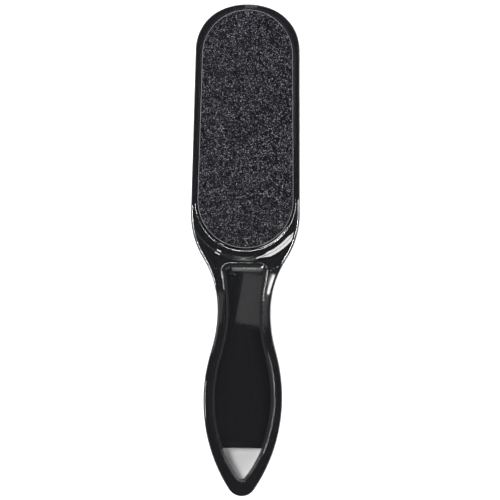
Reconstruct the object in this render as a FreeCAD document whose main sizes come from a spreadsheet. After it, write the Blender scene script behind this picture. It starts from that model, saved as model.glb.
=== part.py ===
import FreeCAD, Part
import math
import os

import Sketcher

os.makedirs("parts", exist_ok=True)

# Foot file, in mm. It lies flat: +Z is up out of the front abrasive, +Y runs along the axis towards the
# head, and +X is to the right seen from the front. The origin is at the middle of the length and width,
# on the plane of the handle's rear rim.

# Driving sizes
sizes = {
    # outline seen from the front; a place share is counted along the length from the top of the head
    "overall_length": 250.0,
    "head_width": 55.5,
    "side_taper": 0.88,  # degrees, each side of the head leans in towards the top
    "crown_extra": 6.2,  # how much the crown's radius exceeds half the head's width
    "corner_offset": 4.95,  # how much a corner's radius falls short of it
    "shoulder_place_share": 0.424,
    "shoulder_bulge_share": 0.448,  # of the curve from head to neck, the part that bulges
    "neck_place_share": 0.624,
    "neck_width": 27.0,
    "neck_hollow_share": 0.447,  # of the curve from neck to grip, the part that is hollow
    "grip_place_share": 0.804,
    "grip_width": 40.2,
    "tip_radius": 7.7,
    # thickness
    "head_thickness": 5.6,
    "handle_thickness": 8.6,
    "foot_rise_share": 0.213,  # of half the head's width, from the shoulder up to the centre of the foot
    "ramp_radius": 2.1,  # both curves of the step up from head to handle
    "ramp_clearance": 0.1,  # from the head's side to the foot of the ramp
    "edge_radius": 1.3,
    "stock_allowance": 1.0,  # taken off again while shaping
    # abrasive seat on the head
    "band_width": 3.0,
    "seat_top_border": 2.4,
    "seat_depth": 0.5,
    "seat_bevel": 0.4,
    # panel of the handle and its web
    "rim_width": 3.9,
    "panel_land": 0.7,  # from the end of the ramp to the panel
    "panel_corner_radius": 4.0,
    "panel_flare_radius": 100.0,
    "panel_end_radius": 3.6,
    "tip_rim": 7.2,
    "panel_draft": 18.0,  # degrees
    "panel_bevel": 0.5,
    "web_thickness": 3.2,
    "web_root_bevel": 1.0,
    "hole_from_tip": 24.4,
    "hole_bevel": 0.35,
    # abrasive sheets
    "sheet_gap": 0.55,
    "sheet_foot_gap": 1.0,
    "adhesive_thickness": 0.15,
    "backing_thickness": 0.35,
    "grit_thickness": 0.35,
}

doc = FreeCAD.newDocument("foot_file")
sheet = doc.addObject("Spreadsheet::Sheet", "sizes")
for row, (name, value) in enumerate(sizes.items(), 1):
    sheet.set(f"A{row}", name)
    sheet.set(f"B{row}", str(value))
    sheet.setAlias(f"B{row}", name)
doc.recompute()


def val(name):
    return sizes[name]


def cell(name):
    return "sizes." + name


def point(x, y):
    return FreeCAD.Vector(x, y, 0)


def place_y(name):
    return val("overall_length") * (0.5 - val(name))


# Values that follow from the sizes, each beside the expression that binds it
half_length = val("overall_length") / 2
half_length_cell = "sizes.overall_length / 2"
head_half = val("head_width") / 2
head_half_cell = "sizes.head_width / 2"
head_top = val("head_thickness") / 2
head_top_cell = "sizes.head_thickness / 2"
handle_top = val("handle_thickness") / 2
handle_top_cell = "sizes.handle_thickness / 2"
ramp_start = head_half + val("ramp_clearance")
ramp_start_cell = "(sizes.head_width / 2 + sizes.ramp_clearance)"
seat_foot_radius = head_half - val("band_width") + val("ramp_clearance")
seat_foot_radius_cell = "(sizes.head_width / 2 - sizes.band_width + sizes.ramp_clearance)"
shoulder_from_top = val("overall_length") * val("shoulder_place_share")
taper_run = shoulder_from_top - head_half
seat_top_radius = head_half - math.tan(math.radians(val("side_taper"))) * taper_run - val("band_width")
seat_top_radius_cell = (
    "(sizes.head_width / 2 - sizes.band_width"
    " - tan(sizes.side_taper * 1 deg)"
    " * (sizes.overall_length * sizes.shoulder_place_share - sizes.head_width / 2))"
)
# The foot of the seat and the ramp share one centre, a little above the shoulder
foot_y = half_length - shoulder_from_top + val("foot_rise_share") * head_half
foot_y_cell = (
    "(sizes.overall_length * (0.5 - sizes.shoulder_place_share)"
    " + sizes.foot_rise_share * sizes.head_width / 2)"
)
seat_top_y = half_length - val("seat_top_border") - seat_top_radius
seat_top_y_cell = f"(sizes.overall_length / 2 - sizes.seat_top_border - {seat_top_radius_cell})"
ramp_rise = handle_top - head_top
ramp_run = math.sqrt(4 * val("ramp_radius") * ramp_rise - ramp_rise**2)
rise_cell = "((sizes.handle_thickness - sizes.head_thickness) / 2)"
ramp_run_cell = f"sqrt(4 * sizes.ramp_radius * {rise_cell} - {rise_cell} * {rise_cell})"
panel_top_y = foot_y - ramp_start - ramp_run - val("panel_land")
panel_top_y_cell = f"({foot_y_cell} - {ramp_start_cell} - {ramp_run_cell} - sizes.panel_land)"
lid_z = handle_top + 2 * val("stock_allowance")
lid_z_cell = "sizes.handle_thickness / 2 + 2 * sizes.stock_allowance"


# Two arcs that join two points whose tangents run along the axis: the sum of their radii
def curve_sum(run, offset):
    return (run**2 + offset**2) / (2 * offset)


def curve_sum_cell(run, offset):
    return f"({run} * {run} + {offset} * {offset}) / (2 * {offset})"


shoulder_r = val("shoulder_bulge_share") * curve_sum(
    val("overall_length") * (val("neck_place_share") - val("shoulder_place_share")),
    (val("head_width") - val("neck_width")) / 2,
)
shoulder_r_cell = "sizes.shoulder_bulge_share * " + curve_sum_cell(
    "(sizes.overall_length * (sizes.neck_place_share - sizes.shoulder_place_share))",
    "((sizes.head_width - sizes.neck_width) / 2)",
)
swell_sum = curve_sum(
    val("overall_length") * (val("grip_place_share") - val("neck_place_share")),
    (val("grip_width") - val("neck_width")) / 2,
)
hollow_r = val("neck_hollow_share") * swell_sum
hollow_r_cell = "sizes.neck_hollow_share * " + curve_sum_cell(
    "(sizes.overall_length * (sizes.grip_place_share - sizes.neck_place_share))",
    "((sizes.grip_width - sizes.neck_width) / 2)",
)


# Arc that leaves the side along the axis at a half width and runs into a round end on the axis: its radius
def end_radius(half_width, drop, round_r):
    return (half_width**2 + drop**2 - round_r**2) / (2 * (half_width - round_r))


grip_end_r = end_radius(
    val("grip_width") / 2,
    val("overall_length") * (1 - val("grip_place_share")) - val("tip_radius"),
    val("tip_radius"),
)
grip_drop_cell = "(sizes.overall_length * (1 - sizes.grip_place_share) - sizes.tip_radius)"
grip_end_r_cell = (
    f"((sizes.grip_width * sizes.grip_width / 4 + {grip_drop_cell} * {grip_drop_cell}"
    " - sizes.tip_radius * sizes.tip_radius) / (sizes.grip_width - 2 * sizes.tip_radius))"
)


# Sketching
def plane_of(body, role):
    return next(f for f in body.Origin.OriginFeatures if f.Role == role)


def new_body(name):
    body = doc.addObject("PartDesign::Body", name)
    body.Label = name
    return body


def new_sketch(body, name, role):
    sketch = body.newObject("Sketcher::SketchObject", name)
    sketch.AttachmentSupport = [(plane_of(body, role), "")]
    sketch.MapMode = "FlatFace"
    return sketch


def line(sketch, start, end):
    return sketch.addGeometry(Part.LineSegment(start, end), False)


def arc(sketch, centre, start, end):
    # anticlockwise from start to end
    radius = (start - centre).Length
    first = math.atan2(start.y - centre.y, start.x - centre.x)
    last = math.atan2(end.y - centre.y, end.x - centre.x)
    circle = Part.Circle(centre, FreeCAD.Vector(0, 0, 1), radius)
    return sketch.addGeometry(Part.ArcOfCircle(circle, first, last), False)


def bind(sketch, name, expression, *constraint):
    index = sketch.addConstraint(Sketcher.Constraint(*constraint))
    sketch.renameConstraint(index, name)
    sketch.setExpression("Constraints." + name, expression)


def smooth(sketch, *joints):
    for joint in joints:
        sketch.addConstraint(Sketcher.Constraint("Tangent", *joint))


def meet(sketch, *joints):
    for joint in joints:
        sketch.addConstraint(Sketcher.Constraint("Coincident", *joint))


def level(sketch, *lines):
    for index in lines:
        sketch.addConstraint(Sketcher.Constraint("Horizontal", index))


def upright(sketch, *lines):
    for index in lines:
        sketch.addConstraint(Sketcher.Constraint("Vertical", index))


def on_axis(sketch, *points):
    for index, end in points:
        sketch.addConstraint(Sketcher.Constraint("PointOnObject", index, end, -2))


def close_sketch(sketch):
    doc.recompute()
    if sketch.DoF or not sketch.Shape.isValid():
        raise RuntimeError(f"{sketch.Name} is not fully set: {sketch.DoF} free")


def meeting(centre_a, radius_a, centre_b, radius_b):
    # where two circles touch from outside
    return centre_a + (centre_b - centre_a) * (radius_a / (radius_a + radius_b))


def inner_meeting(centre_a, radius_a, centre_b, radius_b):
    # where the smaller circle b touches circle a from inside
    return centre_a + (centre_b - centre_a) * (radius_a / (radius_a - radius_b))


# Features
def feature(body, kind, name, sketch):
    made = body.newObject("PartDesign::" + kind, name)
    made.Profile = sketch
    return made


def settle(body, made, grows):
    before = made.BaseFeature.Shape.Volume if made.BaseFeature else 0.0
    doc.recompute()
    if not made.isValid() or made.Shape.isNull() or not made.Shape.isValid():
        raise RuntimeError(made.Name + " failed")
    if (made.Shape.Volume > before + 0.01) != grows or abs(made.Shape.Volume - before) < 0.01:
        raise RuntimeError(made.Name + " changed nothing or went the wrong way")
    body.Tip = made


def picked_edges(shape, wanted):
    # names of the edges whose midpoint and two face normals there satisfy wanted
    names = []
    for number, edge in enumerate(shape.Edges, 1):
        faces = shape.ancestorsOfType(edge, Part.Face)
        if len(faces) != 2:
            continue
        middle = edge.valueAt((edge.FirstParameter + edge.LastParameter) / 2)
        normals = []
        for face in faces:
            normals.append(face.normalAt(*face.Surface.parameter(middle)))
        if wanted(middle, *normals):
            names.append(f"Edge{number}")
    return names


def round_edges(body, name, radius, wanted):
    base = body.Tip
    made = body.newObject("PartDesign::Fillet", name)
    made.Base = (base, picked_edges(base.Shape, wanted))
    made.setExpression("Radius", radius)
    settle(body, made, False)


def bevel_edges(body, name, size, wanted, grows=False):
    base = body.Tip
    made = body.newObject("PartDesign::Chamfer", name)
    made.Base = (base, picked_edges(base.Shape, wanted))
    made.setExpression("Size", size)
    settle(body, made, grows)


# Half outline of the handle, closed along the axis
def draw_outline(sketch):
    tip = point(0, -half_length)
    top = point(0, half_length)
    lean = math.radians(val("side_taper"))
    along = point(-math.sin(lean), math.cos(lean))
    outward = point(math.cos(lean), math.sin(lean))
    shoulder = point(head_half, place_y("shoulder_place_share"))
    neck = point(val("neck_width") / 2, place_y("neck_place_share"))
    grip = point(val("grip_width") / 2, place_y("grip_place_share"))

    crown_r = head_half + val("crown_extra")
    crown_c = point(0, half_length - crown_r)
    corner_r = head_half - val("corner_offset")
    reach = shoulder - outward * corner_r - crown_c
    half_b = reach.dot(along)
    slide = -half_b + math.sqrt(half_b**2 - reach.dot(reach) + (crown_r - corner_r) ** 2)
    corner_c = shoulder + along * slide - outward * corner_r
    corner_low = corner_c + outward * corner_r
    corner_high = inner_meeting(crown_c, crown_r, corner_c, corner_r)

    shoulder_c = shoulder - outward * shoulder_r
    gap = shoulder_c - neck
    neck_r = (gap.dot(gap) - shoulder_r**2) / (2 * (shoulder_r + gap.x))
    neck_c = neck + point(neck_r, 0)
    shoulder_low = meeting(shoulder_c, shoulder_r, neck_c, neck_r)

    swell_r = swell_sum - hollow_r
    hollow_c = neck + point(hollow_r, 0)
    swell_c = grip - point(swell_r, 0)
    swell_high = meeting(hollow_c, hollow_r, swell_c, swell_r)

    tip_r = val("tip_radius")
    tip_c = point(0, tip_r - half_length)
    end_c = grip - point(grip_end_r, 0)
    end_low = inner_meeting(end_c, grip_end_r, tip_c, tip_r)

    tip_arc = arc(sketch, tip_c, tip, end_low)
    end_arc = arc(sketch, end_c, end_low, grip)
    swell_arc = arc(sketch, swell_c, grip, swell_high)
    hollow_arc = arc(sketch, hollow_c, neck, swell_high)
    neck_arc = arc(sketch, neck_c, shoulder_low, neck)
    shoulder_arc = arc(sketch, shoulder_c, shoulder_low, shoulder)
    side = line(sketch, shoulder, corner_low)
    corner_arc = arc(sketch, corner_c, corner_low, corner_high)
    crown_arc = arc(sketch, crown_c, corner_high, top)
    axis = line(sketch, top, tip)

    smooth(sketch, (tip_arc, 2, end_arc, 1), (end_arc, 2, swell_arc, 1), (swell_arc, 2, hollow_arc, 2))
    smooth(sketch, (hollow_arc, 1, neck_arc, 2), (neck_arc, 1, shoulder_arc, 1), (shoulder_arc, 2, side, 1))
    smooth(sketch, (side, 2, corner_arc, 1), (corner_arc, 2, crown_arc, 1))
    meet(sketch, (crown_arc, 2, axis, 1), (axis, 2, tip_arc, 1))
    on_axis(sketch, (axis, 1), (axis, 2), (crown_arc, 3), (tip_arc, 3))
    sketch.addConstraint(Sketcher.Constraint("Horizontal", end_arc, 3, end_arc, 2))
    sketch.addConstraint(Sketcher.Constraint("Horizontal", hollow_arc, 3, hollow_arc, 1))
    bind(sketch, "top", half_length_cell, "DistanceY", -1, 1, axis, 1, half_length)
    bind(sketch, "tip", half_length_cell, "DistanceY", axis, 2, -1, 1, half_length)
    bind(sketch, "crown", head_half_cell + " + sizes.crown_extra", "Radius", crown_arc, crown_r)
    bind(sketch, "corner", head_half_cell + " - sizes.corner_offset", "Radius", corner_arc, corner_r)
    bind(sketch, "lean", "90 deg + sizes.side_taper * 1 deg", "Angle", side, math.pi / 2 + lean)
    bind(sketch, "head", head_half_cell, "DistanceX", -1, 1, side, 1, head_half)
    head_end_cell = "sizes.overall_length * sizes.shoulder_place_share"
    bind(sketch, "headEnd", head_end_cell, "DistanceY", side, 1, axis, 1, top.y - shoulder.y)
    bind(sketch, "shoulder", shoulder_r_cell, "Radius", shoulder_arc, shoulder_r)
    bind(sketch, "neck", "sizes.neck_width / 2", "DistanceX", -1, 1, hollow_arc, 1, neck.x)
    neck_at_cell = "sizes.overall_length * sizes.neck_place_share"
    bind(sketch, "neckAt", neck_at_cell, "DistanceY", hollow_arc, 1, axis, 1, top.y - neck.y)
    bind(sketch, "hollow", hollow_r_cell, "Radius", hollow_arc, hollow_r)
    bind(sketch, "grip", "sizes.grip_width / 2", "DistanceX", -1, 1, end_arc, 2, grip.x)
    grip_at_cell = "sizes.overall_length * sizes.grip_place_share"
    bind(sketch, "gripAt", grip_at_cell, "DistanceY", end_arc, 2, axis, 1, top.y - grip.y)
    bind(sketch, "tipRound", cell("tip_radius"), "Radius", tip_arc, tip_r)
    close_sketch(sketch)


# Profile turned about the foot centre: head face, ramp up and handle face
def draw_ramp(sketch):
    ramp_r = val("ramp_radius")
    ramp_end = ramp_start + ramp_run
    far = val("overall_length")
    cove_c = point(ramp_start, head_top + ramp_r)
    brow_c = point(ramp_end, handle_top - ramp_r)
    change = (cove_c + brow_c) * 0.5
    head_line = line(sketch, point(0, head_top), point(ramp_start, head_top))
    cove = arc(sketch, cove_c, point(ramp_start, head_top), change)
    brow = arc(sketch, brow_c, point(ramp_end, handle_top), change)
    handle_line = line(sketch, point(ramp_end, handle_top), point(far, handle_top))
    outer = line(sketch, point(far, handle_top), point(far, lid_z))
    lid = line(sketch, point(far, lid_z), point(0, lid_z))
    inner = line(sketch, point(0, lid_z), point(0, head_top))
    smooth(sketch, (head_line, 2, cove, 1), (cove, 2, brow, 2), (brow, 1, handle_line, 1))
    meet(sketch, (handle_line, 2, outer, 1), (outer, 2, lid, 1))
    meet(sketch, (lid, 2, inner, 1), (inner, 2, head_line, 1))
    level(sketch, head_line, handle_line, lid)
    upright(sketch, outer, inner)
    on_axis(sketch, (head_line, 1))
    bind(sketch, "headFace", head_top_cell, "DistanceY", -1, 1, head_line, 1, head_top)
    bind(sketch, "handleFace", handle_top_cell, "DistanceY", -1, 1, handle_line, 1, handle_top)
    bind(sketch, "foot", ramp_start_cell, "DistanceX", -1, 1, head_line, 2, ramp_start)
    bind(sketch, "cove", cell("ramp_radius"), "Radius", cove, ramp_r)
    bind(sketch, "brow", cell("ramp_radius"), "Radius", brow, ramp_r)
    bind(sketch, "far", cell("overall_length"), "DistanceX", -1, 1, outer, 1, far)
    bind(sketch, "lid", lid_z_cell, "DistanceY", -1, 1, lid, 2, lid_z)
    close_sketch(sketch)


# Rectangle over the head, above the foot centre
def draw_head_clearing(sketch):
    wide = ramp_start + val("stock_allowance")
    high = half_length + val("stock_allowance")
    past = val("stock_allowance")
    corners = [point(-past, foot_y), point(wide, foot_y), point(wide, high), point(-past, high)]
    bottom = line(sketch, corners[0], corners[1])
    right = line(sketch, corners[1], corners[2])
    top = line(sketch, corners[2], corners[3])
    left = line(sketch, corners[3], corners[0])
    meet(sketch, (bottom, 2, right, 1), (right, 2, top, 1), (top, 2, left, 1), (left, 2, bottom, 1))
    level(sketch, bottom, top)
    upright(sketch, right, left)
    bind(sketch, "wide", ramp_start_cell + " + sizes.stock_allowance", "DistanceX", -1, 1, right, 1, wide)
    bind(sketch, "past", cell("stock_allowance"), "DistanceX", left, 1, -1, 1, past)
    bind(sketch, "foot", foot_y_cell, "DistanceY", -1, 1, bottom, 1, foot_y)
    bind(sketch, "high", half_length_cell + " + sizes.stock_allowance", "DistanceY", -1, 1, top, 1, high)
    close_sketch(sketch)


# Half outline of the seat for the abrasive, run past the axis
def draw_seat(sketch):
    past = val("band_width")
    foot_c = point(0, foot_y)
    top_c = point(0, seat_top_y)
    tilt = math.asin((seat_foot_radius - seat_top_radius) / (seat_top_y - foot_y))
    outward = point(math.cos(tilt), math.sin(tilt))
    foot = point(0, foot_y - seat_foot_radius)
    top = point(0, seat_top_y + seat_top_radius)
    low = foot_c + outward * seat_foot_radius
    high = top_c + outward * seat_top_radius
    bottom_line = line(sketch, point(-past, foot.y), foot)
    foot_arc = arc(sketch, foot_c, foot, low)
    side = line(sketch, low, high)
    top_arc = arc(sketch, top_c, high, top)
    top_line = line(sketch, top, point(-past, top.y))
    left = line(sketch, point(-past, top.y), point(-past, foot.y))
    smooth(sketch, (bottom_line, 2, foot_arc, 1), (foot_arc, 2, side, 1))
    smooth(sketch, (side, 2, top_arc, 1), (top_arc, 2, top_line, 1))
    meet(sketch, (top_line, 2, left, 1), (left, 2, bottom_line, 1))
    level(sketch, bottom_line, top_line)
    upright(sketch, left)
    on_axis(sketch, (foot_arc, 3), (top_arc, 3))
    bind(sketch, "past", cell("band_width"), "DistanceX", left, 1, -1, 1, past)
    bind(sketch, "footRadius", seat_foot_radius_cell, "Radius", foot_arc, seat_foot_radius)
    bind(sketch, "footAt", foot_y_cell, "DistanceY", -1, 1, foot_arc, 3, foot_y)
    bind(sketch, "topRadius", seat_top_radius_cell, "Radius", top_arc, seat_top_radius)
    bind(sketch, "topAt", seat_top_y_cell, "DistanceY", -1, 1, top_arc, 3, seat_top_y)
    close_sketch(sketch)


# Half outline inside the rim of the handle. The panel is a full rim in and ends in a round. The web that
# fills it reaches half a rim further out, into the rim, and ends in a straight edge at the hang hole.
def draw_panel(sketch, share, is_web):
    inset = share * val("rim_width")
    inset_cell = f"{share} * sizes.rim_width"
    spare = val("rim_width") - inset
    spare_cell = f"(1 - {share}) * sizes.rim_width"
    past = 0.0 if is_web else val("rim_width")
    neck = point(val("neck_width") / 2 - inset, place_y("neck_place_share"))
    grip = point(val("grip_width") / 2 - inset, place_y("grip_place_share"))
    lower_r = hollow_r + inset
    swell_r = swell_sum - lower_r
    lower_c = neck + point(lower_r, 0)
    swell_c = grip - point(swell_r, 0)
    swell_high = meeting(lower_c, lower_r, swell_c, swell_r)
    flare_r = val("panel_flare_radius") - spare
    flare_c = neck + point(flare_r, 0)
    corner_r = val("panel_corner_radius") + spare
    top_y = panel_top_y + spare
    corner_y = top_y - corner_r
    reach = flare_r + corner_r
    corner_c = point(flare_c.x - math.sqrt(reach**2 - (corner_y - flare_c.y) ** 2), corner_y)
    corner_low = meeting(flare_c, flare_r, corner_c, corner_r)
    corner_high = corner_c + point(0, corner_r)

    if is_web:
        foot_line_y = val("hole_from_tip") - half_length
        end_r = grip_end_r - inset
        end_c = grip - point(end_r, 0)
        end_low = point(end_c.x + math.sqrt(end_r**2 - (foot_line_y - end_c.y) ** 2), foot_line_y)
        bottom = line(sketch, point(-past, foot_line_y), end_low)
    else:
        round_r = val("panel_end_radius")
        foot_line_y = val("tip_rim") - half_length
        round_c = point(0, foot_line_y + round_r)
        end_r = end_radius(grip.x, grip.y - round_c.y, round_r)
        end_c = grip - point(end_r, 0)
        end_low = inner_meeting(end_c, end_r, round_c, round_r)
        bottom = line(sketch, point(-past, foot_line_y), point(0, foot_line_y))
        round_arc = arc(sketch, round_c, point(0, foot_line_y), end_low)
    end_arc = arc(sketch, end_c, end_low, grip)
    swell_arc = arc(sketch, swell_c, grip, swell_high)
    lower_arc = arc(sketch, lower_c, neck, swell_high)
    flare_arc = arc(sketch, flare_c, corner_low, neck)
    corner_arc = arc(sketch, corner_c, corner_low, corner_high)
    top = line(sketch, corner_high, point(-past, top_y))
    left = line(sketch, point(-past, top_y), point(-past, foot_line_y))

    if is_web:
        meet(sketch, (bottom, 2, end_arc, 1))
        bind(sketch, "end", f"{grip_end_r_cell} - {inset_cell}", "Radius", end_arc, end_r)
        foot_cell = "sizes.overall_length / 2 - sizes.hole_from_tip"
        on_axis(sketch, (left, 1))
    else:
        smooth(sketch, (bottom, 2, round_arc, 1), (round_arc, 2, end_arc, 1))
        on_axis(sketch, (round_arc, 3))
        bind(sketch, "round", cell("panel_end_radius"), "Radius", round_arc, round_r)
        foot_cell = "sizes.overall_length / 2 - sizes.tip_rim"
        bind(sketch, "past", cell("rim_width"), "DistanceX", left, 1, -1, 1, past)
    smooth(sketch, (end_arc, 2, swell_arc, 1), (swell_arc, 2, lower_arc, 2), (lower_arc, 1, flare_arc, 2))
    smooth(sketch, (flare_arc, 1, corner_arc, 1), (corner_arc, 2, top, 1))
    meet(sketch, (top, 2, left, 1), (left, 2, bottom, 1))
    level(sketch, bottom, top)
    upright(sketch, left)
    sketch.addConstraint(Sketcher.Constraint("Horizontal", end_arc, 3, end_arc, 2))
    sketch.addConstraint(Sketcher.Constraint("Horizontal", lower_arc, 3, lower_arc, 1))
    bind(sketch, "foot", foot_cell, "DistanceY", bottom, 2, -1, 1, -foot_line_y)
    bind(sketch, "grip", f"sizes.grip_width / 2 - {inset_cell}", "DistanceX", -1, 1, end_arc, 2, grip.x)
    grip_cell = "sizes.overall_length * (sizes.grip_place_share - 0.5)"
    bind(sketch, "gripAt", grip_cell, "DistanceY", end_arc, 2, -1, 1, -grip.y)
    bind(sketch, "neck", f"sizes.neck_width / 2 - {inset_cell}", "DistanceX", -1, 1, lower_arc, 1, neck.x)
    neck_cell = "sizes.overall_length * (sizes.neck_place_share - 0.5)"
    bind(sketch, "neckAt", neck_cell, "DistanceY", lower_arc, 1, -1, 1, -neck.y)
    bind(sketch, "lower", f"{hollow_r_cell} + {inset_cell}", "Radius", lower_arc, lower_r)
    bind(sketch, "flare", f"sizes.panel_flare_radius - {spare_cell}", "Radius", flare_arc, flare_r)
    bind(sketch, "corner", f"sizes.panel_corner_radius + {spare_cell}", "Radius", corner_arc, corner_r)
    bind(sketch, "topAt", f"-({panel_top_y_cell} + {spare_cell})", "DistanceY", top, 1, -1, 1, -top_y)
    close_sketch(sketch)


# Moulded handle: one quarter is shaped, then mirrored to the left and to the rear
def moulded_handle():
    body = new_body("moulded_handle")

    outline = new_sketch(body, "outline", "XY_Plane")
    draw_outline(outline)
    blank = feature(body, "Pad", "blank", outline)
    blank.setExpression("Length", handle_top_cell + " + sizes.stock_allowance")
    settle(body, blank, True)

    ramp = new_sketch(body, "ramp_profile", "YZ_Plane")
    ramp.setExpression("AttachmentOffset.Base.x", foot_y_cell)
    draw_ramp(ramp)
    turned = feature(body, "Groove", "ramp", ramp)
    turned.ReferenceAxis = (ramp, ["V_Axis"])
    turned.Angle = 360.0
    settle(body, turned, False)

    clearing = new_sketch(body, "head_clearing", "XY_Plane")
    clearing.setExpression("AttachmentOffset.Base.z", handle_top_cell + " + sizes.stock_allowance")
    draw_head_clearing(clearing)
    cleared = feature(body, "Pocket", "head_face", clearing)
    cleared.setExpression("Length", f"{rise_cell} + sizes.stock_allowance")
    settle(body, cleared, False)

    def is_outer_edge(middle, first, second):
        lying = min(abs(first.z), abs(second.z)) < 0.01
        return lying and max(first.z, second.z) > 0.5 and middle.x > 0.01 and middle.z > 0.1

    round_edges(body, "outer_round", cell("edge_radius"), is_outer_edge)

    seat = new_sketch(body, "seat_outline", "XY_Plane")
    seat.setExpression("AttachmentOffset.Base.z", head_top_cell)
    draw_seat(seat)
    seated = feature(body, "Pocket", "seat", seat)
    seated.setExpression("Length", cell("seat_depth"))
    settle(body, seated, False)

    panel = new_sketch(body, "panel_outline", "XY_Plane")
    panel.setExpression("AttachmentOffset.Base.z", handle_top_cell)
    draw_panel(panel, 1.0, False)
    opened = feature(body, "Pocket", "panel", panel)
    opened.setExpression("Length", handle_top_cell)
    opened.setExpression("TaperAngle", "-sizes.panel_draft * 1 deg")
    settle(body, opened, False)

    web_outline = new_sketch(body, "web_outline", "XY_Plane")
    draw_panel(web_outline, 0.5, True)
    web = feature(body, "Pad", "web", web_outline)
    web.setExpression("Length", "sizes.web_thickness / 2")
    settle(body, web, True)

    def is_sharp(first, second):
        return first.dot(second) < 0.5

    def is_web_root(middle, first, second):
        low = abs(middle.z - val("web_thickness") / 2) < 0.01 and middle.x > 0.01
        return low and is_sharp(first, second) and middle.y > val("hole_from_tip") - half_length + 0.05

    def is_hole_edge(middle, first, second):
        low = abs(middle.z - val("web_thickness") / 2) < 0.01 and middle.x > 0.01
        return low and is_sharp(first, second) and middle.y < val("hole_from_tip") - half_length + 0.05

    def is_panel_edge(middle, first, second):
        return middle.z > head_top + 0.2 and middle.x > 0.01 and is_sharp(first, second)

    def is_seat_edge(middle, first, second):
        return abs(middle.z - head_top) < 0.01 and middle.x > 0.01 and is_sharp(first, second)

    bevel_edges(body, "panel_edge", cell("panel_bevel"), is_panel_edge)
    bevel_edges(body, "seat_edge", cell("seat_bevel"), is_seat_edge)
    bevel_edges(body, "web_root", cell("web_root_bevel"), is_web_root, True)
    bevel_edges(body, "hole_edge", cell("hole_bevel"), is_hole_edge)

    for name, role in (("both_sides", "YZ_Plane"), ("both_faces", "XY_Plane")):
        whole = body.newObject("PartDesign::Mirrored", name)
        whole.TransformMode = "Whole shape"
        whole.MirrorPlane = (plane_of(body, role), [""])
        settle(body, whole, True)
    body.setExpression("Placement.Base.z", handle_top_cell)
    doc.recompute()
    return body


# Outline of an abrasive sheet: two arcs joined by the lines that touch both, inside the seat by the gap
def draw_sheet(sketch):
    foot_r = seat_foot_radius - val("sheet_gap")
    top_r = seat_top_radius - val("sheet_gap")
    foot_c = point(0, foot_y + val("sheet_foot_gap") - val("sheet_gap"))
    top_c = point(0, seat_top_y)
    tilt = math.asin((foot_r - top_r) / (top_c.y - foot_c.y))
    right = point(math.cos(tilt), math.sin(tilt))
    left = point(-right.x, right.y)
    foot_arc = arc(sketch, foot_c, foot_c + left * foot_r, foot_c + right * foot_r)
    right_side = line(sketch, foot_c + right * foot_r, top_c + right * top_r)
    top_arc = arc(sketch, top_c, top_c + right * top_r, top_c + left * top_r)
    left_side = line(sketch, top_c + left * top_r, foot_c + left * foot_r)
    smooth(sketch, (foot_arc, 2, right_side, 1), (right_side, 2, top_arc, 1))
    smooth(sketch, (top_arc, 2, left_side, 1), (left_side, 2, foot_arc, 1))
    on_axis(sketch, (foot_arc, 3), (top_arc, 3))
    bind(sketch, "footRadius", f"{seat_foot_radius_cell} - sizes.sheet_gap", "Radius", foot_arc, foot_r)
    foot_cell = f"{foot_y_cell} + sizes.sheet_foot_gap - sizes.sheet_gap"
    bind(sketch, "footAt", foot_cell, "DistanceY", -1, 1, foot_arc, 3, foot_c.y)
    bind(sketch, "topRadius", f"{seat_top_radius_cell} - sizes.sheet_gap", "Radius", top_arc, top_r)
    bind(sketch, "topAt", seat_top_y_cell, "DistanceY", -1, 1, top_arc, 3, top_c.y)
    close_sketch(sketch)


# One layer of a sheet, padded away from the handle; below lists the layers between it and the seat
def sheet_layer(side, layer, below):
    body = new_body(f"{side}_{layer}")
    outline = new_sketch(body, f"{side}_{layer}_outline", "XY_Plane")
    draw_sheet(outline)
    pad = feature(body, "Pad", f"{side}_{layer}_layer", outline)
    pad.setExpression("Length", cell(f"{layer}_thickness"))
    pad.Reversed = side == "rear"
    settle(body, pad, True)
    rise = f"{head_top_cell} - sizes.seat_depth"
    for name in below:
        rise += f" + sizes.{name}_thickness"
    sign = "-" if side == "rear" else "+"
    body.setExpression("Placement.Base.z", f"{handle_top_cell} {sign} ({rise})")
    doc.recompute()
    return body


bodies = [moulded_handle()]
for side in ("front", "rear"):
    bodies.append(sheet_layer(side, "adhesive", []))
    bodies.append(sheet_layer(side, "backing", ["adhesive"]))
    bodies.append(sheet_layer(side, "grit", ["adhesive", "backing"]))
doc.recompute()

# Check every object, then write one STEP file for each sub-part
for thing in doc.Objects:
    if "Invalid" in thing.State or "Error" in thing.State:
        raise RuntimeError(thing.Name + " did not recompute")
for body in bodies:
    shape = body.Shape
    if shape.isNull() or not shape.isValid() or len(shape.Solids) != 1:
        raise RuntimeError(body.Label + " is not one sound solid")
    shape.exportStep(f"parts/{body.Label}.step")
    box = shape.optimalBoundingBox()
    spans = f"{box.XLength:.2f} x {box.YLength:.2f} x {box.ZLength:.2f} mm"
    print(f"{body.Label}: {spans}, from z {box.ZMin:.2f}")
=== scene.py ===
import math

import bmesh
import bpy
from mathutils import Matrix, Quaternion, Vector, noise
from mathutils.bvhtree import BVHTree


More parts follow.
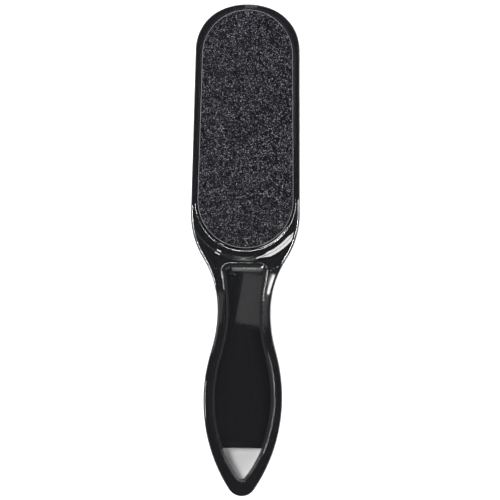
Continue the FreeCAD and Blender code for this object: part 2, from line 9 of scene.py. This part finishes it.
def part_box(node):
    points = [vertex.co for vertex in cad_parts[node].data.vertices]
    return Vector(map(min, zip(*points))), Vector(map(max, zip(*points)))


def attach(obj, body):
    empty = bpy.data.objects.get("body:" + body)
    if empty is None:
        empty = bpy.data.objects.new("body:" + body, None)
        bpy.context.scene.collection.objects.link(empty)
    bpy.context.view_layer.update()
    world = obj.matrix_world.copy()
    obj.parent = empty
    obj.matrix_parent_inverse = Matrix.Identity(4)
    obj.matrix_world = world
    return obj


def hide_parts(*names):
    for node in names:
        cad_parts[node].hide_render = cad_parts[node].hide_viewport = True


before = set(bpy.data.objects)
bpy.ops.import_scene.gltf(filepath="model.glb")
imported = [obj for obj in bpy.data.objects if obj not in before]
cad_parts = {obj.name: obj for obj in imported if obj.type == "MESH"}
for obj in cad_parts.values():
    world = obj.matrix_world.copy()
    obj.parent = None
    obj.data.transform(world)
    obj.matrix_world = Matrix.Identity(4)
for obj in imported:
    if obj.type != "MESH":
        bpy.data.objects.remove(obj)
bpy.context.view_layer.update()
mm = 0.001
print("frame loaded:", ", ".join(sorted(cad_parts)))


# shader helpers
def newMaterial(name):
    material = bpy.data.materials.new(name)
    material.use_nodes = True
    tree = material.node_tree
    return material, tree, tree.nodes["Principled BSDF"]


def addNode(tree, kind, **settings):
    node = tree.nodes.new("ShaderNode" + kind)
    for key, value in settings.items():
        setattr(node, key, value)
    return node


def setInputs(node, **values):
    for key, value in values.items():
        node.inputs[key].default_value = value


def objectPoints(tree):
    return addNode(tree, "TexCoord").outputs["Object"]


def addRange(tree, low, high):
    node = addNode(tree, "MapRange")
    setInputs(node, **{"From Min": low, "From Max": high})
    return node


def addBump(tree, shader, height, strength):
    bump = addNode(tree, "Bump")
    setInputs(bump, Strength=strength, Distance=mm)
    tree.links.new(height, bump.inputs["Height"])
    tree.links.new(bump.outputs["Normal"], shader.inputs["Normal"])


def newGroup(name, inputs, outputs):
    group = bpy.data.node_groups.new(name, "ShaderNodeTree")
    for label, kind in inputs:
        group.interface.new_socket(label, in_out="INPUT", socket_type="NodeSocket" + kind)
    for label, kind in outputs:
        group.interface.new_socket(label, in_out="OUTPUT", socket_type="NodeSocket" + kind)
    return group, group.nodes.new("NodeGroupInput"), group.nodes.new("NodeGroupOutput")


def placeGroup(tree, group, **values):
    node = tree.nodes.new("ShaderNodeGroup")
    node.node_tree = group
    setInputs(node, **values)
    return node


# soft patches of haze and fine hairlines, as a roughness and a height
hazeLook = {
    "patch": {"Scale": 70.0, "Detail": 4.0, "Roughness": 0.6},
    "patchRange": (0.45, 0.8),
    "hairline": {"Scale": 1.0, "Detail": 2.0, "Roughness": 0.5},
    "hairlineTurn": (0.0, 0.0, 0.35),
    "hairlineScale": (2600.0, 60.0, 900.0),
    "hairlineRange": (0.66, 0.74),
}


def hazeGroup(look):
    group, source, sink = newGroup(
        "hazeAndHairlines",
        [("Points", "Vector"), ("Clean", "Float"), ("Hazy", "Float")],
        [("Roughness", "Float"), ("Height", "Float")],
    )
    patch = addNode(group, "TexNoise")
    setInputs(patch, **look["patch"])
    turn = addNode(group, "Mapping")
    setInputs(turn, Rotation=look["hairlineTurn"], Scale=look["hairlineScale"])
    hairline = addNode(group, "TexNoise")
    setInputs(hairline, **look["hairline"])
    thin = addRange(group, *look["hairlineRange"])
    spread = addRange(group, *look["patchRange"])
    worn = addNode(group, "Math", operation="MAXIMUM")
    level = addNode(group, "MapRange")
    link = group.links.new
    link(source.outputs["Points"], patch.inputs["Vector"])
    link(source.outputs["Points"], turn.inputs["Vector"])
    link(turn.outputs["Vector"], hairline.inputs["Vector"])
    link(hairline.outputs["Fac"], thin.inputs["Value"])
    link(patch.outputs["Fac"], spread.inputs["Value"])
    link(spread.outputs["Result"], worn.inputs[0])
    link(thin.outputs["Result"], worn.inputs[1])
    link(worn.outputs["Value"], level.inputs["Value"])
    link(source.outputs["Clean"], level.inputs["To Min"])
    link(source.outputs["Hazy"], level.inputs["To Max"])
    link(level.outputs["Result"], sink.inputs["Roughness"])
    link(patch.outputs["Fac"], sink.inputs["Height"])
    return group


# cells of a given size: a colour for each, a mask of a chosen share of them and a value for each;
# a higher bend leaves fewer pale cells
def speckleGroup(bend):
    group, source, sink = newGroup(
        "grainSpeckle",
        [
            ("Points", "Vector"),
            ("Scale", "Float"),
            ("Dark", "Color"),
            ("Light", "Color"),
            ("Share", "Float"),
        ],
        [("Color", "Color"), ("Bright", "Float"), ("Cell", "Float")],
    )
    cells = addNode(group, "TexVoronoi")
    split = addNode(group, "SeparateColor")
    power = addNode(group, "Math", operation="POWER")
    power.inputs[1].default_value = bend
    mix = addNode(group, "Mix", data_type="RGBA")
    edge = addNode(group, "Math", operation="SUBTRACT")
    edge.inputs[0].default_value = 1.0
    bright = addNode(group, "Math", operation="GREATER_THAN")
    link = group.links.new
    link(source.outputs["Points"], cells.inputs["Vector"])
    link(source.outputs["Scale"], cells.inputs["Scale"])
    link(cells.outputs["Color"], split.inputs["Color"])
    link(split.outputs["Red"], power.inputs[0])
    link(power.outputs["Value"], mix.inputs["Factor"])
    link(source.outputs["Dark"], mix.inputs["A"])
    link(source.outputs["Light"], mix.inputs["B"])
    link(source.outputs["Share"], edge.inputs[1])
    link(split.outputs["Green"], bright.inputs[0])
    link(edge.outputs["Value"], bright.inputs[1])
    link(mix.outputs["Result"], sink.inputs["Color"])
    link(bright.outputs["Value"], sink.inputs["Bright"])
    link(split.outputs["Blue"], sink.inputs["Cell"])
    return group


haze = hazeGroup(hazeLook)
speckle = speckleGroup(bend=10.0)


# mesh helpers; a lean is the size of a normal's z, 0 on an upright face and 1 on a level one
mergeGap = 0.002 * mm
flatAngle = 0.2
sideLean = 0.02
wallLean = 0.5
bevelLeans = (0.4, 0.95)
levelLean = 0.999


def lean(face):
    return abs(face.normal.z)


def vertsIn(parts):
    return [part for part in parts if isinstance(part, bmesh.types.BMVert)]


def edgesIn(parts):
    return [part for part in parts if isinstance(part, bmesh.types.BMEdge)]


def middleHeight():
    low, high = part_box("moulded_handle")
    return (low.z + high.z) / 2


def mergedCopy(node):
    bm = bmesh.new()
    bm.from_mesh(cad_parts[node].data)
    bmesh.ops.remove_doubles(bm, verts=bm.verts, dist=mergeGap)
    bmesh.ops.dissolve_degenerate(bm, dist=mergeGap / 4, edges=bm.edges)
    bmesh.ops.dissolve_limit(bm, angle_limit=math.radians(flatAngle), verts=bm.verts, edges=bm.edges)
    bm.normal_update()
    return bm


def addPiece(name, bm, material, node):
    mesh = bpy.data.meshes.new(name)
    bm.to_mesh(mesh)
    bm.free()
    mesh.materials.append(material)
    piece = bpy.data.objects.new(name, mesh)
    bpy.context.scene.collection.objects.link(piece)
    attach(piece, "root")
    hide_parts(node)
    return piece


# moulded handle: a merged copy of the solid, with smooth faces, a rim round each seat and a mould seam
handleLook = {
    "color": (0.0035, 0.0035, 0.0042, 1.0),
    "ior": 1.59,
    "clean": 0.03,
    "hazy": 0.09,
    "wave": 0.0006,
    "sharpAngle": 50.0,
    "rootAngle": 20.0,
    "rootLevel": 2.6 * mm,
    "normalWeight": 100,
    "cutGap": 0.0001 * mm,
    "crestGap": 0.001 * mm,
    "seamWidth": 0.16 * mm,
    "seamHeight": 0.045 * mm,
    "lipGap": 0.01 * mm,
    "beadWidth": 1.1 * mm,
    "beadHeight": 0.2 * mm,
    "beadRoot": 0.4 * mm,
    "beadSteps": 6,
}


def glossyPlastic(look):
    material, tree, shader = newMaterial("glossyBlackPlastic")
    setInputs(shader, **{"Base Color": look["color"], "IOR": look["ior"]})
    worn = placeGroup(tree, haze, Clean=look["clean"], Hazy=look["hazy"])
    tree.links.new(objectPoints(tree), worn.inputs["Points"])
    tree.links.new(worn.outputs["Roughness"], shader.inputs["Roughness"])
    addBump(tree, shader, worn.outputs["Height"], look["wave"])
    return material


# upper edge of each seat, level with the paper, and the way out of the seat at each of its points
def seatEdges(bm, look):
    middle = middleHeight()
    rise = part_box("front_backing")[1].z - middle
    rim = []
    outward = {}
    for edge in bm.edges:
        atLip = all(abs(abs(vert.co.z - middle) - rise) < look["lipGap"] for vert in edge.verts)
        slopes = [face.normal for face in edge.link_faces if bevelLeans[0] < lean(face) < bevelLeans[1]]
        levels = [face for face in edge.link_faces if lean(face) > levelLean]
        if atLip and len(slopes) == 1 and len(levels) == 1:
            rim.append(edge)
            for vert in edge.verts:
                outward[vert] = outward.get(vert, Vector()) - Vector((slopes[0].x, slopes[0].y, 0))
    return rim, outward


# closed section of the rim: a low half ellipse on a sunk root
def beadSection(look):
    half = look["beadWidth"] / 2
    section = [(-half, -look["beadRoot"])]
    for step in range(look["beadSteps"] + 1):
        angle = math.pi * step / look["beadSteps"]
        section.append((-half * math.cos(angle), look["beadHeight"] * math.sin(angle)))
    section.append((half, -look["beadRoot"]))
    section.append(section[0])
    return section


# rounded rim round each seat, drawn along the seat's upper edge one step of its section at a time
def raiseBeads(bm, look):
    middle = middleHeight()
    rim, outward = seatEdges(bm, look)
    body = set(bm.faces)
    made = bmesh.ops.duplicate(bm, geom=rim)
    rail = {}
    for vert, away in outward.items():
        up = Vector((0, 0, 1 if vert.co.z > middle else -1))
        rail[made["vert_map"][vert]] = (vert.co.copy(), away.normalized(), up)
    loop = edgesIn(made["geom"])
    for count, (across, rise) in enumerate(beadSection(look)):
        if count:
            grown = bmesh.ops.extrude_edge_only(bm, edges=loop)["geom"]
            loop = edgesIn(grown)
            ahead = {}
            for vert in vertsIn(grown):
                others = [edge.other_vert(vert) for edge in vert.link_edges]
                behind = [other for other in others if other in rail]
                ahead[vert] = rail[behind[0]]
            rail = ahead
        for vert, (spot, away, up) in rail.items():
            vert.co = spot + away * across + up * rise
    ends = [vert for vert in bm.verts if any(face not in body for face in vert.link_faces)]
    bmesh.ops.remove_doubles(bm, verts=ends, dist=mergeGap)
    bmesh.ops.recalc_face_normals(bm, faces=[face for face in bm.faces if face not in body])
    print("seat rim edges:", len(rim))


# cut the side at half height, widen the cut to a strip and lift the strip's middle
def raiseSeam(bm, look):
    height = middleHeight()
    parts = bm.verts[:] + bm.edges[:] + bm.faces[:]
    cut = bmesh.ops.bisect_plane(
        bm, geom=parts, plane_co=(0, 0, height), plane_no=(0, 0, 1), dist=look["cutGap"]
    )
    bm.normal_update()
    seam = []
    for edge in edgesIn(cut["geom_cut"]):
        if all(lean(face) < sideLean for face in edge.link_faces):
            seam.append(edge)
    strip = bmesh.ops.bevel(
        bm, geom=seam, offset=look["seamWidth"], segments=2, profile=0.5, affect="EDGES", material=-1
    )
    bm.normal_update()
    crest = [vert for vert in strip["verts"] if abs(vert.co.z - height) < look["crestGap"]]
    for vert in crest:
        vert.co += vert.normal * look["seamHeight"]
    print("mould seam edges:", len(seam))
    return set(strip["faces"])


def makeHandle(look):
    bm = mergedCopy("moulded_handle")
    openEdges = sum(1 for edge in bm.edges if not edge.is_manifold)
    raiseBeads(bm, look)
    seam = raiseSeam(bm, look)
    middle = middleHeight()
    for face in bm.faces:
        face.smooth = True
    for edge in bm.edges:
        ridge = len(seam.intersection(edge.link_faces)) == 1
        deep = all(abs(vert.co.z - middle) < look["rootLevel"] for vert in edge.verts)
        limit = look["rootAngle"] if deep else look["sharpAngle"]
        edge.smooth = not ridge and edge.calc_face_angle(0.0) < math.radians(limit)
    piece = addPiece("handleMoulding", bm, glossyPlastic(look), "moulded_handle")
    even = piece.modifiers.new("evenNormals", "WEIGHTED_NORMAL")
    even.keep_sharp = True
    even.weight = look["normalWeight"]
    print("handle copy, open edges:", openEdges)
    return piece


handle = makeHandle(handleLook)


# grit coats: a fine grid cut to the sheet's outline and raised into tilted grains
gritLook = {
    "dark": (0.0010, 0.0010, 0.0013, 1.0),
    "light": (0.140, 0.140, 0.162, 1.0),
    # a small share of grains get this paler base colour: painted glints, the sparkle of grain facets
    # painted into the colour
    "paintedGlint": (0.16, 0.16, 0.18, 1.0),
    "paintedGlintShare": 0.012,
    "cellsPerGrain": 1.5,
    "specular": 0.2,
    "roughness": (0.35, 0.75),
    "chip": 0.15,
    "spacing": 0.26 * mm,
    "shake": 0.5,
    "shakeStep": 3.7,
    "grain": 0.5 * mm,
    "grainStep": 517.0,
    "rise": 0.16 * mm,
    "ownShare": 0.7,
    "grooveShare": 0.3,
    "grooveSlope": 4,
    "tilt": 0.45,
    "rimShare": 0.4,
    "inset": 0.25 * mm,
    "resin": 0.12 * mm,
    "clearance": 0.005 * mm,
    "probe": 10 * mm,
}


def mineralGrit(look):
    material, tree, shader = newMaterial("darkMineralGrit")
    shader.inputs["Specular IOR Level"].default_value = look["specular"]
    grains = placeGroup(tree, speckle, Scale=look["cellsPerGrain"] / look["grain"])
    setInputs(grains, Dark=look["dark"], Light=look["light"], Share=look["paintedGlintShare"])
    # the chosen share of cells take the paler colour: painted glints in the base colour
    tint = addNode(tree, "Mix", data_type="RGBA")
    tint.inputs["B"].default_value = look["paintedGlint"]
    gloss = addNode(tree, "MapRange")
    setInputs(gloss, **{"To Min": look["roughness"][0], "To Max": look["roughness"][1]})
    tree.links.new(objectPoints(tree), grains.inputs["Points"])
    tree.links.new(grains.outputs["Bright"], tint.inputs["Factor"])
    tree.links.new(grains.outputs["Color"], tint.inputs["A"])
    tree.links.new(tint.outputs["Result"], shader.inputs["Base Color"])
    tree.links.new(grains.outputs["Cell"], gloss.inputs["Value"])
    tree.links.new(gloss.outputs["Result"], shader.inputs["Roughness"])
    addBump(tree, shader, grains.outputs["Cell"], look["chip"])
    return material


# height of the grain that covers a point of the sheet
def grainHeight(x, y, look, layer):
    place = Vector((x, y, layer)) / look["grain"]
    gaps, centres = noise.voronoi(place)
    centre = centres[0]
    own = noise.cell_vector(centre * look["grainStep"])
    slope = (place.x - centre.x) * (own.x - 0.5) + (place.y - centre.y) * (own.y - 0.5)
    groove = min(1.0, (gaps[1] - gaps[0]) * look["grooveSlope"])
    block = own.z * look["ownShare"] + look["grooveShare"] * groove
    return look["rise"] * block + slope * look["tilt"] * look["grain"]


# search trees of the sheet's side wall and of the whole sheet
def sheetTrees(node):
    solid = mergedCopy(node)
    wall = BVHTree.FromPolygons(
        [vert.co.copy() for vert in solid.verts],
        [[vert.index for vert in face.verts] for face in solid.faces if lean(face) < wallLean],
    )
    cover = BVHTree.FromBMesh(solid)
    solid.free()
    return wall, cover


def sheetGrid(low, high, spacing):
    width, length = high.x - low.x, high.y - low.y
    bm = bmesh.new()
    bmesh.ops.create_grid(
        bm, x_segments=round(width / spacing), y_segments=round(length / spacing), size=0.5
    )
    bmesh.ops.scale(bm, verts=bm.verts, vec=(width, length, 1))
    bmesh.ops.translate(bm, verts=bm.verts, vec=((low.x + high.x) / 2, (low.y + high.y) / 2, 0))
    return bm


# delete what lies outside the sheet, and draw the new rim to the inset from the sheet's wall
def cutToSheet(bm, node, look, outer, middle, side):
    wall, cover = sheetTrees(node)
    outside = []
    for vert in bm.verts:
        over = Vector((vert.co.x, vert.co.y, outer + side * look["probe"]))
        hit = cover.ray_cast(over, Vector((0, 0, -side)))[0]
        spot = wall.find_nearest(Vector((vert.co.x, vert.co.y, middle)))[0]
        gap = (Vector((spot.x, spot.y)) - vert.co.xy).length
        if hit is None or gap < look["inset"]:
            outside.append(vert)
    bmesh.ops.delete(bm, geom=outside, context="VERTS")
    loose = [vert for vert in bm.verts if not vert.link_faces]
    bmesh.ops.delete(bm, geom=loose, context="VERTS")

    rim = {vert for vert in bm.verts if vert.is_boundary}
    for vert in rim:
        spot, normal, _, _ = wall.find_nearest(Vector((vert.co.x, vert.co.y, middle)))
        vert.co.x = spot.x - normal.x * look["inset"]
        vert.co.y = spot.y - normal.y * look["inset"]
    return rim


# lift each point to its grain's height, no higher than the solid, and shake it off the grid
def raiseGrains(bm, rim, look, outer, inner, side):
    floorZ = inner + side * look["resin"]
    topZ = outer - side * look["clearance"]
    for vert in bm.verts:
        x, y = vert.co.xy
        height = look["rimShare"] * look["rise"] if vert in rim else grainHeight(x, y, look, side)
        z = floorZ + side * max(0.0, height)
        vert.co.z = min(z, topZ) if side > 0 else max(z, topZ)
        if vert not in rim:
            seed = Vector((x, y, side)) / look["spacing"] * look["shakeStep"]
            shake = noise.cell_vector(seed) - Vector((0.5, 0.5, 0.5))
            vert.co.x += shake.x * look["spacing"] * look["shake"]
            vert.co.y += shake.y * look["spacing"] * look["shake"]


def openRim(bm):
    return [edge for edge in bm.edges if edge.is_boundary]


def makeGrit(name, node, look, material, side):
    low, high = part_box(node)
    outer, inner = (high.z, low.z) if side > 0 else (low.z, high.z)
    bm = sheetGrid(low, high, look["spacing"])
    rim = cutToSheet(bm, node, look, outer, (inner + outer) / 2, side)
    raiseGrains(bm, rim, look, outer, inner, side)
    skirt = bmesh.ops.extrude_edge_only(bm, edges=openRim(bm))
    for vert in vertsIn(skirt["geom"]):
        vert.co.z = inner
    bmesh.ops.holes_fill(bm, edges=openRim(bm), sides=0)
    bmesh.ops.recalc_face_normals(bm, faces=bm.faces)
    piece = addPiece(name, bm, material, node)
    print(name, "faces:", len(piece.data.polygons))


gritMaterial = mineralGrit(gritLook)
makeGrit("frontGritCoat", "front_grit", gritLook, gritMaterial, 1)
makeGrit("rearGritCoat", "rear_grit", gritLook, gritMaterial, -1)


# paper and tape layers keep the CAD meshes
paperLook = {
    "dark": (0.13, 0.13, 0.135, 1.0),
    "light": (0.32, 0.32, 0.33, 1.0),
    "fibreScale": 6000.0,
    "roughness": 0.85,
    "fuzz": 0.1,
}
tapeLook = {
    "dark": (0.20, 0.17, 0.12, 1.0),
    "light": (0.30, 0.26, 0.19, 1.0),
    "clean": 0.25,
    "hazy": 0.5,
    "wave": 0.01,
}


def backingPaper(look):
    material, tree, shader = newMaterial("backingPaper")
    shader.inputs["Roughness"].default_value = look["roughness"]
    fibres = placeGroup(tree, speckle, Scale=look["fibreScale"], Dark=look["dark"], Light=look["light"])
    tree.links.new(objectPoints(tree), fibres.inputs["Points"])
    tree.links.new(fibres.outputs["Color"], shader.inputs["Base Color"])
    addBump(tree, shader, fibres.outputs["Cell"], look["fuzz"])
    return material


def tapeFilm(look):
    material, tree, shader = newMaterial("tapeFilm")
    worn = placeGroup(tree, haze, Clean=look["clean"], Hazy=look["hazy"])
    tint = addNode(tree, "Mix", data_type="RGBA")
    setInputs(tint, A=look["dark"], B=look["light"])
    tree.links.new(objectPoints(tree), worn.inputs["Points"])
    tree.links.new(worn.outputs["Height"], tint.inputs["Factor"])
    tree.links.new(tint.outputs["Result"], shader.inputs["Base Color"])
    tree.links.new(worn.outputs["Roughness"], shader.inputs["Roughness"])
    addBump(tree, shader, worn.outputs["Height"], look["wave"])
    return material


def dressNode(name, material):
    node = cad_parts[name]
    node.data.materials.clear()
    node.data.materials.append(material)


paper = backingPaper(paperLook)
tape = tapeFilm(tapeLook)
for face in ("front", "rear"):
    dressNode(face + "_backing", paper)
    dressNode(face + "_adhesive", tape)
print("sheets dressed")


# floor, light and camera
floorLook = {
    "color": (0.92, 0.92, 0.92, 1.0),
    "roughness": 0.9,
    "specular": 0.0,
    "halfSize": 6.0,
    "drop": 0.05 * mm,
}


def makeFloor(look):
    bm = bmesh.new()
    bmesh.ops.create_grid(bm, x_segments=1, y_segments=1, size=look["halfSize"])
    bmesh.ops.translate(bm, verts=bm.verts, vec=(0, 0, -look["drop"]))
    mesh = bpy.data.meshes.new("paleFloor")
    bm.to_mesh(mesh)
    bm.free()
    material, tree, shader = newMaterial("paleFloorPaint")
    setInputs(shader, **{"Base Color": look["color"], "Roughness": look["roughness"]})
    shader.inputs["Specular IOR Level"].default_value = look["specular"]
    mesh.materials.append(material)
    floor = bpy.data.objects.new("paleFloor", mesh)
    bpy.context.scene.collection.objects.link(floor)


# plain dome, bright near the horizon and dim overhead; the fade runs between two heights on it
domeLook = {"color": (1.0, 1.0, 1.0, 1.0), "horizon": 0.35, "ceiling": 0.06, "fade": (0.15, 0.75)}


def makeDome(look):
    world = bpy.data.worlds.new("studioDome")
    bpy.context.scene.world = world
    world.use_nodes = True
    tree = world.node_tree
    sky = tree.nodes["Background"]
    sky.inputs["Color"].default_value = look["color"]
    split = addNode(tree, "SeparateXYZ")
    ramp = addRange(tree, *look["fade"])
    ramp.interpolation_type = "SMOOTHSTEP"
    setInputs(ramp, **{"To Min": look["horizon"], "To Max": look["ceiling"]})
    tree.links.new(addNode(tree, "TexCoord").outputs["Generated"], split.inputs["Vector"])
    tree.links.new(split.outputs["Z"], ramp.inputs["Value"])
    tree.links.new(ramp.outputs["Result"], sky.inputs["Strength"])


# a rectangle of light as bright at any size, hidden from the camera
def makeLight(name, at, aim, size, level, turn=0.0):
    light = bpy.data.lights.new(name, "AREA")
    light.shape = "RECTANGLE"
    light.size, light.size_y = size
    light.energy = level * math.pi * size[0] * size[1]
    lamp = bpy.data.objects.new(name, light)
    bpy.context.scene.collection.objects.link(lamp)
    away = Vector(at) - Vector(aim)
    facing = away.to_track_quat("Z", "Y") @ Quaternion((0, 0, 1), math.radians(turn))
    lamp.location = at
    lamp.rotation_euler = facing.to_euler()
    lamp.visible_camera = False
    return lamp


# soft boxes kept out of the reflections: a ring that whitens the floor all round, and one at the side
ring = {
    "count": 6,
    "start": 30.0,
    "elevation": 22.0,
    "distance": 1.2,
    "size": (0.55, 0.40),
    "level": 22.0,
}
sideBox = {"at": (-0.41, 0.05, 0.655), "aim": (0.0, -0.06, 0.0), "size": (0.30, 0.20), "level": 21.5}


def makeRing(look):
    rise = math.radians(look["elevation"])
    for step in range(look["count"]):
        angle = math.radians(look["start"] + 360 / look["count"] * step)
        flat = math.cos(rise)
        away = Vector((math.cos(angle) * flat, math.sin(angle) * flat, math.sin(rise)))
        lamp = makeLight("fill%d" % step, away * look["distance"], (0, 0, 0), look["size"], look["level"])
        lamp.visible_glossy = False


def makeSideBox(look):
    lamp = makeLight("sideBox", look["at"], look["aim"], look["size"], look["level"])
    lamp.visible_glossy = False


# camera: its height, and the width that it sees at the height of the plane
viewPoint = {
    "height": 1.1,
    "across": 254.4 * mm,
    "shift": (2.63 * mm, 0.09 * mm),
    "roll": 0.81,
    "plane": 4.3 * mm,
    "sensor": 36.0,
}

# cards that the plastic mirrors: place, aim, size in metres, level and turn
glintCards = {
    "wedgeCard": ((0.0105, 0.0114, 0.0175), (0.0178, 0.0018, 0.0075), (0.011, 0.020), 14.0, 0.0),
    "spotCard": ((-0.0096, 0.0070, 0.0164), (-0.0142, -0.0019, 0.0080), (0.0018, 0.007), 15.0, 0.0),
    "padCard": ((0.001, 0.085, 0.080), (0.001, -0.003, 0.007), (0.016, 0.090), 1.6, 0.0),
    "zoneCard": ((0.0055, -0.0285, 0.150), (0.0055, -0.0285, 0.0), (0.017, 0.029), 0.62, -9.0),
    "topZoneCard": ((0.0012, -0.0103, 0.100), (0.0012, -0.0103, 0.0), (0.0165, 0.0026), 2.0, 0.0),
    "sideZoneCard": ((-0.0160, -0.0330, 0.150), (-0.0160, -0.0330, 0.0), (0.009, 0.018), 0.55, -9.0),
    "stripCard": ((0.0143, -0.0187, 0.100), (0.0143, -0.0187, 0.0), (0.0017, 0.011), 22.0, -18.0),
}
# strips beside the edges, in mm: x, y, facing away at an angle, width, lower and upper end, level
edgeStrips = {
    "leftStrip": (-36, -11, 180, 26, 33, 35, 270.0),
    "rightStrip": (36, -3, 0, 26, 33, 35, 170.0),
    "leftLowStrip": (-32, -38, 180, 24, 33, 35, 35.0),
    "gripStrip": (-33, -78, 180, 22, 33, 35, 150.0),
    "panelStrip": (0, -10, 270, 20, 38, 46, 95.0),
    "crownStrip": (2, 140, 90, 9, 31, 36, 32.0),
}
# such strips round the seat's lower end, for its rim, in mm; each place is an angle and a level
rimStrips = {
    "centre": (0.0, 25.4),
    "radius": 38.0,
    "width": 13.0,
    "low": 22.0,
    "high": 24.0,
    "places": (
        (193, 190.0), (215, 45.0), (235, 65.0), (255, 135.0),
        (295, 150.0), (315, 300.0), (335, 140.0), (352, 140.0),
    ),
}


# a strip leans away from the camera's axis, so that a level face below it mirrors only its edge
def standStrip(name, x, y, angle, width, low, high, level):
    at = Vector((x, y, (low + high) / 2)) * mm
    away = Vector((math.cos(math.radians(angle)), math.sin(math.radians(angle)), 0))
    foot = Vector((viewPoint["shift"][0], viewPoint["shift"][1], at.z))
    away.z = -away.dot(at - foot) / viewPoint["height"]
    return makeLight(name, at, at - away, (width * mm, (high - low) * mm), level)


def standRimStrips(rim):
    lamps = []
    for angle, level in rim["places"]:
        x = rim["centre"][0] + rim["radius"] * math.cos(math.radians(angle))
        y = rim["centre"][1] + rim["radius"] * math.sin(math.radians(angle))
        name = "rimStrip%d" % angle
        lamps.append(standStrip(name, x, y, angle, rim["width"], rim["low"], rim["high"], level))
    return lamps


# only the given piece receives these lights, and only as reflections
def makeGlints(cards, strips, rim, piece):
    receivers = bpy.data.collections.new("glintReceivers")
    receivers.objects.link(piece)
    lamps = [makeLight(name, *values) for name, values in cards.items()]
    lamps += [standStrip(name, *values) for name, values in strips.items()]
    lamps += standRimStrips(rim)
    for lamp in lamps:
        lamp.visible_diffuse = False
        lamp.light_linking.receiver_collection = receivers


def makeCamera(look):
    camera = bpy.data.cameras.new("photoCamera")
    camera.sensor_width = look["sensor"]
    camera.lens = look["sensor"] * (look["height"] - look["plane"]) / look["across"]
    seat = bpy.data.objects.new("photoCamera", camera)
    bpy.context.scene.collection.objects.link(seat)
    seat.location = (look["shift"][0], look["shift"][1], look["height"])
    seat.rotation_euler = (0, 0, math.radians(look["roll"]))
    bpy.context.scene.camera = seat


makeFloor(floorLook)
makeDome(domeLook)
makeRing(ring)
makeSideBox(sideBox)
makeGlints(glintCards, edgeStrips, rimStrips, handle)
makeCamera(viewPoint)
view = bpy.context.scene.view_settings
view.view_transform = "Standard"
view.look = "None"
print("studio ready")
